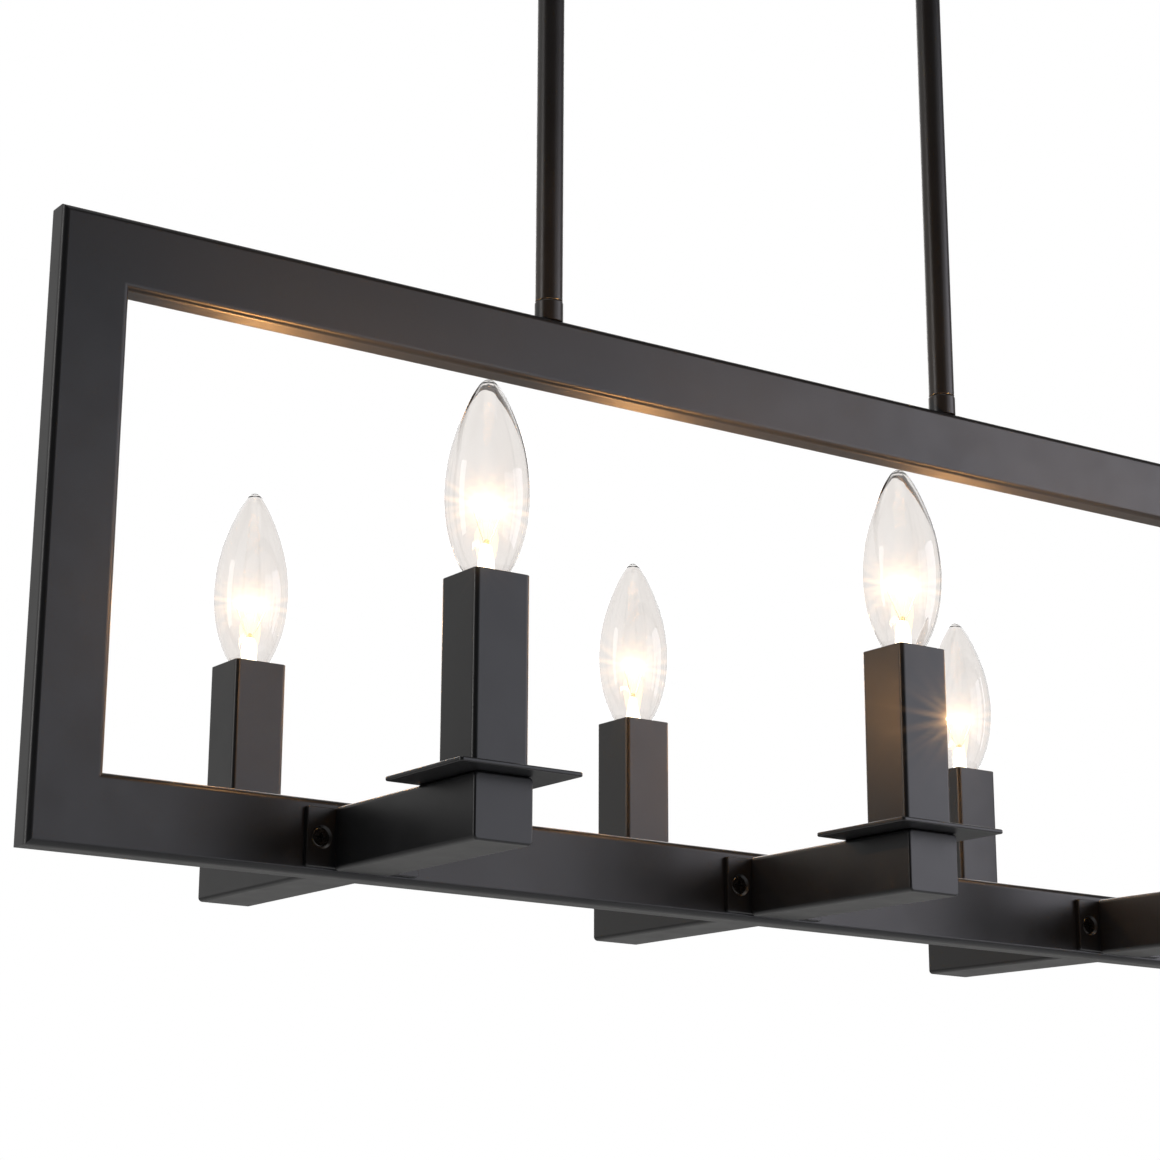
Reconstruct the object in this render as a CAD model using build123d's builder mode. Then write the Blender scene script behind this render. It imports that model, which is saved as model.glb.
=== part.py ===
from build123d import *
import math
import os

os.makedirs("parts", exist_ok=True)

# ---------------------------------------------------------------------------
# Driving dimensions, millimetres.  +Z is up, the ceiling plane is z = 0 and
# the origin is the centre of the ceiling crossbar.  X runs along the frame.
# ---------------------------------------------------------------------------

# rectangular frame of flat rectangular tube
FRAME_L = 732.0
FRAME_H = 266.4
TUBE_FACE = 31.8
TUBE_DEPTH = 13.8
TUBE_WALL = 1.2
TUBE_EDGE = 2.8
Z_TOP = -520.0
Z_BOT = Z_TOP - FRAME_H

# cross-arms of square tube, bolted on the bottom rail through a flange
ARM_PITCH = 216.6
ARM_W = 27.0
ARM_H = 26.6
ARM_WALL = 1.2
ARM_EDGE = 2.0
ARM_TIP = 115.0
ARM_LIFT = 2.2
ARM_END_T = 1.6
FLANGE_W = 54.0
FLANGE_H = 25.0
FLANGE_T = 2.4
SCREW_X = 20.0
SCREW_R = 2.0
SCREW_HEAD_R = 3.9
CSK_R = 4.9
WIRE_HOLE_R = 4.0

# candles
CANDLE_Y = 100.0
PAN_SIDE = 56.0
PAN_T = 1.8
SLEEVE_SIDE = 25.8
SLEEVE_WALL = 0.9
SLEEVE_EDGE = 2.1
SLEEVE_TOP = 109.5
NIPPLE_R = 4.75
NIPPLE_BORE = 3.0

# hanging stems
STEM_X = 120.0
STEM_R = 6.35
STEM_BORE = 5.0
STEM_UPPER = 152.4
STEM_LOWER = 304.8
STUD_R = 4.95
COLLAR_R = 6.65
COLLAR_H = 10.0

# ball swivels under the canopy
BALL_R = 8.0
BALL_CLEAR = 0.08
BALL_Z = -40.0
CUP_R = 12.0
CABLE_BORE = 2.6

# canopy and crossbar
CANOPY_L = 330.0
CANOPY_W = 118.0
CANOPY_D = 25.0
CANOPY_T = 1.0
BAR_L = 180.0
BAR_W = 22.0
BAR_T = 2.0
SLOT_X = 39.7
SLOT_L = 16.0
SLOT_R = 2.4
STUD_X = 75.0
GROUND_X = 60.0

# wiring
CABLE_R = 2.0
JUMPER_R = 1.6
LEAD_R = 1.3
WIRE_R = 0.6

# screw lamp, widest 35 mm, 12 mm screw base; heights from the sleeve's top
BASE_R = 5.95
SHELL_IN = 6.05
GLASS = [(0.0, 82.3), (1.5, 82.0), (3.05, 80.8), (5.9, 76.7), (8.7, 71.3),
         (11.8, 63.8), (14.75, 54.7), (16.6, 45.7), (17.5, 33.0), (16.4, 20.6),
         (13.9, 10.9), (10.9, 4.1), (8.3, 0.0), (6.1, -4.9)]
INNER = [(0.0, 81.0), (2.5, 79.9), (5.2, 76.1), (8.0, 70.8), (11.1, 63.4), (14.05, 54.5),
         (15.9, 45.5), (16.8, 33.0), (15.7, 20.8), (13.2, 11.1), (10.2, 4.4), (7.6, 0.3), (5.4, -4.8)]

ARMS_X = [-ARM_PITCH, 0.0, ARM_PITCH]
PLACES = ["left", "middle", "right"]
Z_ARM = Z_BOT + ARM_LIFT + ARM_H / 2
Z_ARM_TOP = Z_BOT + ARM_LIFT + ARM_H
Z_PAN_TOP = Z_ARM_TOP + PAN_T
Z_SLEEVE = Z_BOT + SLEEVE_TOP
CANDLES = [(side_name + "_" + place, x, side * CANDLE_Y)
           for side_name, side in (("front", -1), ("back", 1))
           for place, x in zip(PLACES, ARMS_X)]
CANDLE_AXES = [(x, y, 0.0) for _, x, y in CANDLES]


def save(builder, name):
    builder.part.label = name
    export_step(builder.part, "parts/" + name + ".step")
    print(name, "solids", len(builder.part.solids()), "volume", round(builder.part.volume, 1))


def group(piece, places, name):
    """The same piece at several places, as separate solids in one node."""
    with BuildPart() as many:
        with Locations(*places):
            add(piece.part)
    save(many, name)
    return many


def at(z, points=CANDLE_AXES):
    return [Location((x, y, z)) for x, y, _ in points]


# ---------------------------------------------------------------------------
# Frame: four mitred tubes
# ---------------------------------------------------------------------------

def tube_section(width, height, wall, edge):
    RectangleRounded(width, height, edge)
    RectangleRounded(width - 2 * wall, height - 2 * wall, max(edge - wall, 0.2), mode=Mode.SUBTRACT)


def cut_wedge(points):
    with BuildSketch(Plane.XZ) as wedge:
        with BuildLine():
            Polyline(*points, close=True)
        make_face()
    extrude(wedge.sketch, amount=TUBE_DEPTH, both=True, mode=Mode.SUBTRACT)


def mitre_rail(z_out, inward):
    """Cuts both ends of a rail at 45 degrees; inward is the way to the window."""
    for s in (-1, 1):
        x_out = s * FRAME_L / 2
        e = 5.0
        cut_wedge([(x_out + s * e, z_out - inward * e),
                   (x_out - s * (TUBE_FACE + e), z_out + inward * (TUBE_FACE + e)),
                   (x_out + s * e, z_out + inward * (TUBE_FACE + e))])


with BuildPart() as frame_top_rail:
    with BuildSketch(Plane.YZ.offset(-FRAME_L / 2)):
        with Locations((0, Z_TOP - TUBE_FACE / 2)):
            tube_section(TUBE_DEPTH, TUBE_FACE, TUBE_WALL, TUBE_EDGE)
    extrude(amount=FRAME_L)
    mitre_rail(Z_TOP, -1)
    with BuildSketch(Plane.XY.offset(Z_TOP - 4)):
        with Locations((-STEM_X, 0), (STEM_X, 0)):
            Circle(STUD_R + 0.03)
    extrude(amount=6, mode=Mode.SUBTRACT)
save(frame_top_rail, "frame_top_rail")

with BuildPart() as frame_bottom_rail:
    with BuildSketch(Plane.YZ.offset(-FRAME_L / 2)):
        with Locations((0, Z_BOT + TUBE_FACE / 2)):
            tube_section(TUBE_DEPTH, TUBE_FACE, TUBE_WALL, TUBE_EDGE)
    extrude(amount=FRAME_L)
    mitre_rail(Z_BOT, 1)
    with BuildSketch(Plane.XZ):
        with Locations(*[(x, Z_ARM) for x in ARMS_X]):
            Circle(WIRE_HOLE_R)
        with Locations(*[(x + s * SCREW_X, Z_ARM) for x in ARMS_X for s in (-1, 1)]):
            Circle(SCREW_R + 0.02)
    extrude(amount=TUBE_DEPTH, both=True, mode=Mode.SUBTRACT)
save(frame_bottom_rail, "frame_bottom_rail")


def upright(s, name):
    x_out = s * FRAME_L / 2
    e = 5.0
    with BuildPart() as post:
        with BuildSketch(Plane.XY.offset(Z_BOT)):
            with Locations((x_out - s * TUBE_FACE / 2, 0)):
                tube_section(TUBE_FACE, TUBE_DEPTH, TUBE_WALL, TUBE_EDGE)
        extrude(amount=FRAME_H)
        cut_wedge([(x_out + s * e, Z_TOP + e),
                   (x_out - s * (TUBE_FACE + e), Z_TOP + e),
                   (x_out - s * (TUBE_FACE + e), Z_TOP - TUBE_FACE - e)])
        cut_wedge([(x_out + s * e, Z_BOT - e),
                   (x_out - s * (TUBE_FACE + e), Z_BOT - e),
                   (x_out - s * (TUBE_FACE + e), Z_BOT + TUBE_FACE + e)])
    save(post, name)


upright(-1, "frame_left_upright")
upright(1, "frame_right_upright")


# ---------------------------------------------------------------------------
# Cross-arms: square tube, closed tip, flange plate with two countersunk holes
# ---------------------------------------------------------------------------

def arm_plane(x, side, out=0.0):
    """Plane on the rail's face at an arm, its normal pointing along the arm."""
    return Plane(origin=(x, side * (TUBE_DEPTH / 2 + out), Z_ARM),
                 x_dir=(-side, 0, 0), z_dir=(0, side, 0))


def arm(x, side, name):
    reach = ARM_TIP - TUBE_DEPTH / 2
    with BuildPart() as a:
        with BuildSketch(arm_plane(x, side)):
            RectangleRounded(FLANGE_W, FLANGE_H, 1.2)
        extrude(amount=FLANGE_T)
        fillet(a.faces().sort_by(Axis((0, 0, 0), (0, side, 0)))[-1].edges(), 0.5)
        for s in (-1, 1):
            with Locations(Plane(origin=(x + s * SCREW_X, side * (TUBE_DEPTH / 2 + FLANGE_T), Z_ARM),
                                 x_dir=(-side, 0, 0), z_dir=(0, side, 0))):
                CounterSinkHole(SCREW_R + 0.2, CSK_R, depth=FLANGE_T, counter_sink_angle=90)
        with BuildSketch(arm_plane(x, side, FLANGE_T)):
            RectangleRounded(ARM_W, ARM_H, ARM_EDGE)
        extrude(amount=reach - FLANGE_T)
        fillet(a.faces().sort_by(Axis((0, 0, 0), (0, side, 0)))[-1].edges(), 1.0)
        with BuildSketch(arm_plane(x, side, FLANGE_T)):
            RectangleRounded(ARM_W - 2 * ARM_WALL, ARM_H - 2 * ARM_WALL, ARM_EDGE - ARM_WALL)
        extrude(amount=reach - FLANGE_T - ARM_END_T, mode=Mode.SUBTRACT)
        with BuildSketch(arm_plane(x, side)):
            Circle(WIRE_HOLE_R)
        extrude(amount=FLANGE_T + 1, mode=Mode.SUBTRACT)
        with BuildSketch(Plane.XY.offset(Z_ARM_TOP - 4)):
            with Locations((x, side * CANDLE_Y)):
                Circle(NIPPLE_R + 0.03)
        extrude(amount=6, mode=Mode.SUBTRACT)
    save(a, name)


for side_name, side in (("front", -1), ("back", 1)):
    for place, x in zip(PLACES, ARMS_X):
        arm(x, side, "arm_" + side_name + "_" + place)

# one flange screw, its axis along Z with the flange's outer face at z = 0
with BuildPart() as flange_screw:
    with BuildSketch(Plane.XZ):
        with BuildLine():
            Polyline((0, -0.8), (SCREW_HEAD_R - 0.25, -0.8), (SCREW_HEAD_R, -0.95),
                     (SCREW_HEAD_R - 1.4, -2.35), (SCREW_R, -2.35), (SCREW_R, -8.6),
                     (SCREW_R - 0.5, -9.1), (0, -9.1), close=True)
        make_face()
    revolve(axis=Axis.Z)
    with BuildSketch(Plane.XY.offset(-0.8)):
        Rectangle(4.3, 0.85)
        Rectangle(0.85, 4.3)
    extrude(amount=-1.2, mode=Mode.SUBTRACT)
    with BuildSketch(Plane.XY.offset(-0.8)):
        Circle(0.95)
    extrude(amount=-1.7, taper=18, mode=Mode.SUBTRACT)
group(flange_screw,
      [Location(Plane(origin=(x + s * SCREW_X, side * (TUBE_DEPTH / 2 + FLANGE_T), Z_ARM),
                      x_dir=(-side, 0, 0), z_dir=(0, side, 0)))
       for side in (-1, 1) for x in ARMS_X for s in (-1, 1)],
      "flange_screws")

# ---------------------------------------------------------------------------
# Candles: drip pan, square sleeve, and the lamp holder on its threaded nipple
# ---------------------------------------------------------------------------

with BuildPart() as drip_pan:
    with BuildSketch():
        RectangleRounded(PAN_SIDE, PAN_SIDE, 1.5)
    extrude(amount=PAN_T)
    fillet(drip_pan.edges().filter_by(Axis.Z, reverse=True), 0.6)
    Hole(NIPPLE_R + 0.15)
group(drip_pan, at(Z_ARM_TOP), "drip_pans")

with BuildPart() as candle_sleeve:
    with BuildSketch():
        tube_section(SLEEVE_SIDE, SLEEVE_SIDE, SLEEVE_WALL, SLEEVE_EDGE)
    extrude(amount=Z_SLEEVE - Z_PAN_TOP)
    fillet(candle_sleeve.faces().sort_by(Axis.Z)[-1].outer_wire().edges(), 0.3)
group(candle_sleeve, at(Z_PAN_TOP), "candle_sleeves")

# heights below are from the sleeve's top edge
PAN_DOWN = Z_PAN_TOP - Z_SLEEVE
FOOT_T = 1.2
HOLDER_R = 9.0
HOLDER_TOP = -7.2
HOLDER_BOT = -33.0

with BuildPart() as socket_nipple:
    with BuildSketch():
        Circle(NIPPLE_R)
        Circle(NIPPLE_BORE, mode=Mode.SUBTRACT)
    extrude(amount=12.0)
    chamfer(socket_nipple.faces().sort_by(Axis.Z)[-1].outer_wire().edges(), 0.4)
group(socket_nipple, at(Z_SLEEVE + PAN_DOWN - 6.1), "socket_nipples")

with BuildPart() as socket_nut:
    with BuildSketch():
        RegularPolygon(7.0, 6, major_radius=False)
        Circle(NIPPLE_R + 0.03, mode=Mode.SUBTRACT)
    extrude(amount=3.5)
group(socket_nut, at(Z_SLEEVE + PAN_DOWN + FOOT_T), "socket_nuts")

# strap bracket: foot under the nut, leg, and a tab that carries the holder
with BuildPart() as socket_bracket:
    with BuildSketch(Plane.XZ):
        with BuildLine():
            Polyline((-8.6, PAN_DOWN), (10.2, PAN_DOWN), (10.2, HOLDER_BOT), (-6.5, HOLDER_BOT),
                     (-6.5, HOLDER_BOT - FOOT_T), (9.0, HOLDER_BOT - FOOT_T),
                     (9.0, PAN_DOWN + FOOT_T), (-8.6, PAN_DOWN + FOOT_T), close=True)
        make_face()
    extrude(amount=4.5, both=True)
    fillet(socket_bracket.edges().filter_by(Axis.Y).filter_by_position(Axis.X, 10.1, 10.3), 1.8)
    with BuildSketch(Plane.XY.offset(PAN_DOWN)):
        Circle(8.6)
    extrude(amount=FOOT_T)
    with BuildSketch(Plane.XY.offset(PAN_DOWN - 1)):
        Circle(NIPPLE_R + 0.1)
    extrude(amount=FOOT_T + 2, mode=Mode.SUBTRACT)
    with BuildSketch(Plane.XY.offset(HOLDER_BOT - FOOT_T - 1)):
        Circle(3.13)
    extrude(amount=FOOT_T + 2, mode=Mode.SUBTRACT)
group(socket_bracket, at(Z_SLEEVE), "socket_brackets")

# insulating holder with a staked spigot in the bracket's tab
with BuildPart() as socket_body:
    with BuildSketch(Plane.XZ):
        with BuildLine():
            Polyline((6.5, HOLDER_TOP), (HOLDER_R - 0.5, HOLDER_TOP), (HOLDER_R, HOLDER_TOP - 0.5),
                     (HOLDER_R, HOLDER_BOT), (3.1, HOLDER_BOT), (3.1, HOLDER_BOT - 1.8),
                     (1.5, HOLDER_BOT - 1.8), (1.5, -24.0), (0, -24.0), (0, -20.0),
                     (4.2, -20.0), (4.2, -17.6), (6.5, -17.6), close=True)
        make_face()
    revolve(axis=Axis.Z)
group(socket_body, at(Z_SLEEVE), "socket_bodies")

with BuildPart() as socket_shell:
    with BuildSketch(Plane.XZ):
        with BuildLine():
            Polyline((SHELL_IN, HOLDER_TOP - 0.1), (6.47, HOLDER_TOP - 0.1), (6.47, -17.55),
                     (4.6, -17.55), (4.6, -17.15), (SHELL_IN, -17.15), close=True)
        make_face()
    revolve(axis=Axis.Z)
group(socket_shell, at(Z_SLEEVE), "socket_shells")

# centre contact: a folded spring tongue on the holder's floor
with BuildPart() as socket_contact:
    with BuildSketch(Plane.XZ):
        with BuildLine():
            Polyline((-3.4, -20.0), (3.2, -20.0), (3.2, -18.25), (-2.2, -18.25), (-2.2, -18.6),
                     (2.8, -18.6), (2.8, -19.6), (-3.4, -19.6), close=True)
        make_face()
    extrude(amount=1.5, both=True)
group(socket_contact, at(Z_SLEEVE), "socket_contacts")

# ---------------------------------------------------------------------------
# Screw lamps
# ---------------------------------------------------------------------------

with BuildPart() as lamp_glass:
    with BuildSketch(Plane.XZ):
        with BuildLine():
            Spline(*GLASS)
            Polyline(GLASS[-1], (5.2, -8.9), (4.55, -8.9), INNER[-1])
            Spline(*INNER[::-1])
            Line(INNER[0], GLASS[0])
        make_face()
    revolve(axis=Axis.Z)

with BuildPart() as lamp_base:
    with BuildSketch(Plane.XZ):
        with BuildLine():
            Polyline((6.4, -4.9), (6.75, -5.2), (6.75, -6.1), (BASE_R, -6.6), (BASE_R, -13.6),
                     (BASE_R - 0.7, -14.5), (3.4, -14.5), (3.4, -14.15), (BASE_R - 0.9, -14.15),
                     (5.6, -13.4), (5.6, -7.2), close=True)
        make_face()
    revolve(axis=Axis.Z)

# glass mount: flared stem, two lead wires and the filament between them
with BuildPart() as lamp_filament:
    with BuildSketch(Plane.XZ):
        with BuildLine():
            Polyline((0, -8.8), (4.4, -8.8), (4.4, -8.2), (2.6, -5.2), (2.3, 3.0), (1.6, 10.0),
                     (1.2, 12.5), (0, 13.0), close=True)
        make_face()
    revolve(axis=Axis.Z)
    with BuildLine() as leads:
        hot = Polyline((-0.8, 0, 11.5), (-3.2, 0, 18.0), (-7.6, 0, 28.6), (-3.6, 0, 29.6), (0, 0, 28.4),
                       (3.6, 0, 29.6), (7.6, 0, 28.6), (3.2, 0, 18.0), (0.8, 0, 11.5))
    with BuildSketch(Plane(origin=hot @ 0, z_dir=hot % 0)):
        Circle(0.45)
    sweep(path=hot, transition=Transition.ROUND)

with BuildPart() as lamp_tip:
    with BuildSketch(Plane.XZ):
        with BuildLine():
            Polyline((0, -14.55), (5.1, -14.55), (4.6, -15.4), (2.9, -16.7), (0, -16.7), close=True)
        make_face()
    revolve(axis=Axis.Z)
    with BuildSketch(Plane.XZ):
        with BuildLine():
            Polyline((0, -16.72), (2.5, -16.72), (2.2, -17.5), (1.3, -18.2), (0, -18.2), close=True)
        make_face()
    revolve(axis=Axis.Z, mode=Mode.ADD)

for lamp, x, y in CANDLES:
    for piece, part_name in ((lamp_glass, "glass"), (lamp_base, "base"),
                             (lamp_filament, "filament"), (lamp_tip, "tip")):
        group(piece, [Location((x, y, Z_SLEEVE))], "bulb_" + lamp + "_" + part_name)

# ---------------------------------------------------------------------------
# Stems, their couplers and the collars welded on the top rail
# ---------------------------------------------------------------------------

Z_STEM = Z_TOP + COLLAR_H + STEM_LOWER + STEM_UPPER
STEMS = [Location((-STEM_X, 0, 0)), Location((STEM_X, 0, 0))]


def stem(z_low, length):
    with BuildPart() as rod:
        with BuildSketch(Plane.XY.offset(z_low)):
            Circle(STEM_R)
            Circle(STEM_BORE, mode=Mode.SUBTRACT)
        extrude(amount=length)
        chamfer(rod.faces().sort_by(Axis.Z)[-1].outer_wire().edges(), 0.35)
        chamfer(rod.faces().sort_by(Axis.Z)[0].outer_wire().edges(), 0.35)
    return rod


group(stem(Z_TOP + COLLAR_H + STEM_LOWER, STEM_UPPER), STEMS, "stems_upper")
group(stem(Z_TOP + COLLAR_H, STEM_LOWER), STEMS, "stems_lower")

with BuildPart() as stem_coupler:
    with BuildSketch(Plane.XY.offset(Z_TOP + COLLAR_H + STEM_LOWER - 12)):
        Circle(STUD_R)
        Circle(NIPPLE_BORE, mode=Mode.SUBTRACT)
    extrude(amount=24)
    chamfer(stem_coupler.faces().sort_by(Axis.Z)[-1].outer_wire().edges(), 0.4)
group(stem_coupler, STEMS, "stem_couplers")

with BuildPart() as stem_collar:
    with BuildSketch(Plane.XZ):
        with BuildLine():
            Polyline((NIPPLE_BORE, Z_TOP - TUBE_WALL), (STUD_R, Z_TOP - TUBE_WALL), (STUD_R, Z_TOP),
                     (COLLAR_R, Z_TOP), (COLLAR_R, Z_TOP + COLLAR_H - 0.9),
                     (STEM_R - 0.35, Z_TOP + COLLAR_H), (STUD_R, Z_TOP + COLLAR_H),
                     (STUD_R, Z_TOP + COLLAR_H + 12), (NIPPLE_BORE, Z_TOP + COLLAR_H + 12), close=True)
        make_face()
    revolve(axis=Axis.Z)
group(stem_collar, STEMS, "stem_collars")

# ---------------------------------------------------------------------------
# Ball swivels; heights from the ball's centre
# ---------------------------------------------------------------------------

UNDER = -CANOPY_D - BALL_Z   # the canopy's underside above the ball's centre
LIP = -4.2
CAV = BALL_R + BALL_CLEAR

with BuildPart() as swivel_ball:
    with BuildSketch(Plane.XZ):
        with BuildLine():
            neck_z = -math.sqrt(BALL_R ** 2 - 4.0 ** 2)
            top_r = 5.2
            top_z = math.sqrt(BALL_R ** 2 - top_r ** 2)
            ThreePointArc((top_r, top_z), (BALL_R, 0), (4.0, neck_z))
            Polyline((4.0, neck_z), (4.0, -10.0), (STEM_R - 0.5, -10.0), (STEM_R, -10.5),
                     (STEM_R, Z_STEM - BALL_Z), (STUD_R, Z_STEM - BALL_Z), (STUD_R, Z_STEM - BALL_Z - 12),
                     (CABLE_BORE, Z_STEM - BALL_Z - 12), (CABLE_BORE, 0), (top_r, top_z))
        make_face()
    revolve(axis=Axis.Z)
group(swivel_ball, [Location((s * STEM_X, 0, BALL_Z)) for s in (-1, 1)], "swivel_balls")

with BuildPart() as swivel_cup:
    with BuildSketch(Plane.XZ):
        with BuildLine():
            lip_r = math.sqrt(CAV ** 2 - LIP ** 2)
            mid = -math.radians(15)
            ThreePointArc((lip_r, LIP), (CAV * math.cos(mid), CAV * math.sin(mid)), (CAV, 0))
            Polyline((CAV, 0), (CAV, 8.4), (8.4, 8.4), (8.4, UNDER - 2), (CUP_R - 0.4, UNDER - 2),
                     (CUP_R, UNDER - 2.4), (CUP_R, 1.5), (CUP_R - 2.6, LIP), (lip_r, LIP))
        make_face()
    revolve(axis=Axis.Z)
group(swivel_cup, [Location((s * STEM_X, 0, BALL_Z)) for s in (-1, 1)], "swivel_cups")

# threaded spigot that closes the cup, flange under the canopy, nipple through it
with BuildPart() as swivel_nipple:
    with BuildSketch(Plane.XZ):
        with BuildLine():
            Polyline((NIPPLE_BORE, 9.0), (8.36, 9.0), (8.36, UNDER - 2), (CUP_R, UNDER - 2),
                     (CUP_R, UNDER), (NIPPLE_R, UNDER), (NIPPLE_R, UNDER + 11.5),
                     (NIPPLE_R - 0.5, UNDER + 12), (NIPPLE_BORE, UNDER + 12), close=True)
        make_face()
    revolve(axis=Axis.Z)
group(swivel_nipple, [Location((s * STEM_X, 0, BALL_Z)) for s in (-1, 1)], "swivel_nipples")

with BuildPart() as swivel_locknut:
    with BuildSketch():
        RegularPolygon(8.0, 6, major_radius=False)
        Circle(NIPPLE_R + 0.03, mode=Mode.SUBTRACT)
    extrude(amount=3.5)
group(swivel_locknut, [Location((s * STEM_X, 0, -CANOPY_D + CANOPY_T)) for s in (-1, 1)], "swivel_locknuts")

# ---------------------------------------------------------------------------
# Canopy, crossbar and their hardware
# ---------------------------------------------------------------------------

with BuildPart() as canopy_cover:
    with BuildSketch(Plane.XY.offset(-CANOPY_D)):
        RectangleRounded(CANOPY_L, CANOPY_W, 3.0)
    extrude(amount=CANOPY_D)
    fillet(canopy_cover.faces().sort_by(Axis.Z)[0].edges(), 1.6)
    with BuildSketch(Plane.XY.offset(-CANOPY_D + CANOPY_T)):
        RectangleRounded(CANOPY_L - 2 * CANOPY_T, CANOPY_W - 2 * CANOPY_T, 2.0)
    extrude(amount=CANOPY_D, mode=Mode.SUBTRACT)
    with BuildSketch(Plane.XY.offset(-CANOPY_D - 1)):
        with Locations((-STEM_X, 0), (STEM_X, 0)):
            Circle(NIPPLE_R + 0.15)
        with Locations((-STUD_X, 0), (STUD_X, 0)):
            Circle(2.3)
    extrude(amount=4, mode=Mode.SUBTRACT)
save(canopy_cover, "canopy_cover")

with BuildPart() as ceiling_bracket:
    with BuildSketch(Plane.XY.offset(-BAR_T)):
        RectangleRounded(BAR_L, BAR_W, 4.0)
        with Locations((-SLOT_X, 0), (SLOT_X, 0)):
            SlotOverall(SLOT_L, 2 * SLOT_R, mode=Mode.SUBTRACT)
        with Locations((-STUD_X, 0), (STUD_X, 0)):
            Circle(2.02, mode=Mode.SUBTRACT)
        with Locations((GROUND_X, 0)):
            Circle(2.42, mode=Mode.SUBTRACT)
    extrude(amount=BAR_T)
save(ceiling_bracket, "ceiling_bracket")

with BuildPart() as canopy_stud:
    with BuildSketch(Plane.XY.offset(-31.0)):
        Circle(2.0)
    extrude(amount=30.9)
group(canopy_stud, [Location((s * STUD_X, 0, 0)) for s in (-1, 1)], "canopy_studs")

with BuildPart() as stud_nut:
    with BuildSketch(Plane.XY.offset(-BAR_T - 3)):
        RegularPolygon(3.5, 6, major_radius=False)
        Circle(2.02, mode=Mode.SUBTRACT)
    extrude(amount=3)
group(stud_nut, [Location((s * STUD_X, 0, 0)) for s in (-1, 1)], "stud_nuts")

# domed cap nut under the canopy
with BuildPart() as cap_nut:
    with BuildSketch(Plane.XZ):
        with BuildLine():
            Polyline((0, 0), (5.2, 0), (5.2, -1.2), (4.6, -1.8), (4.6, -4.4))
            ThreePointArc((4.6, -4.4), (4.6 * math.sqrt(0.5), -4.4 - 4.6 * math.sqrt(0.5)), (0, -9.0))
            Line((0, -9.0), (0, 0))
        make_face()
    revolve(axis=Axis.Z)
    with BuildSketch(Plane.XY):
        Circle(2.02)
    extrude(amount=-6.6, mode=Mode.SUBTRACT)
group(cap_nut, [Location((s * STUD_X, 0, -CANOPY_D)) for s in (-1, 1)], "canopy_cap_nuts")

with BuildPart() as ground_screw:
    with BuildSketch(Plane.XY.offset(-BAR_T - 1)):
        with Locations((GROUND_X, 0)):
            Circle(5.0)
    extrude(amount=1)
    with BuildSketch(Plane.XY.offset(-BAR_T - 3.6)):
        with Locations((GROUND_X, 0)):
            RegularPolygon(3.5, 6, major_radius=False)
    extrude(amount=2.6)
    with BuildSketch(Plane.XY.offset(-BAR_T)):
        with Locations((GROUND_X, 0)):
            Circle(2.4)
    extrude(amount=BAR_T - 0.1)
    with BuildSketch(Plane.XY.offset(-BAR_T - 3.6)):
        with Locations((GROUND_X, 0)):
            Rectangle(7.4, 0.9)
    extrude(amount=1.0, mode=Mode.SUBTRACT)
save(ground_screw, "ground_screw")


# ---------------------------------------------------------------------------
# Wiring held inside the object: straight runs joined by tangent arcs
# ---------------------------------------------------------------------------

def run(points, radii, radius):
    """A round wire along straight runs and arcs, checked against its length."""
    with BuildPart() as wire:
        with BuildLine() as path:
            if radii:
                FilletPolyline(*points, radius=radii)
            else:
                Line(*points)
        line = path.wires()[0]
        with BuildSketch(Plane(origin=points[0], z_dir=Vector(*points[1]) - Vector(*points[0]))):
            Circle(radius)
        sweep(path=line)
    want = math.pi * radius ** 2 * line.length
    print("  wire length", round(line.length, 1), "radii", radii,
          "volume ratio", round(wire.part.volume / want, 4))
    return wire


PIVOT_GAP = 0.8
BUTT = 0.02         # butted ends stay separate solids
CABLE_TOP = -544.0
CABLE_X = -350.0
CABLE_LOW = Z_BOT + 25.0
SPLICE_IN = 44.0
SPLICE_OUT = 28.0

harness = [run([(-STEM_X, 0, BALL_Z - PIVOT_GAP), (-STEM_X, 0, CABLE_TOP), (CABLE_X, 0, CABLE_TOP),
                (CABLE_X, 0, CABLE_LOW), (ARMS_X[0] - SPLICE_IN, 0, CABLE_LOW)],
               [22.0, 22.0, 22.0], CABLE_R)]
for first, second in ((ARMS_X[0], ARMS_X[1]), (ARMS_X[1], ARMS_X[2])):
    harness.append(run([(first - SPLICE_OUT, 0, Z_BOT + 26.5), (second - SPLICE_IN, 0, Z_BOT + 26.5)],
                       None, JUMPER_R))
for x in ARMS_X:
    for s in (-1, 1):
        harness.append(run([(x - SPLICE_OUT, s * 1.6, Z_BOT + 22), (x - 13, s * 1.6, Z_BOT + 22),
                            (x, s * 1.6, Z_ARM), (x, s * CANDLE_Y, Z_ARM),
                            (x, s * CANDLE_Y, Z_SLEEVE - 24.0)],
                           [27.0, 6.4, 9.0], LEAD_R))
with BuildPart() as splice:
    with BuildSketch(Plane.YZ.offset(-SPLICE_IN + BUTT)):
        with Locations((0, Z_BOT + 24.4)):
            RectangleRounded(9.0, 10.2, 2.0)
    extrude(amount=SPLICE_IN - SPLICE_OUT - 2 * BUTT)
with BuildPart() as wiring_harness:
    for wire in harness:
        add(wire.part)
    with Locations(*[Location((x, 0, 0)) for x in ARMS_X]):
        add(splice.part)
save(wiring_harness, "wiring_harness")

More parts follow.
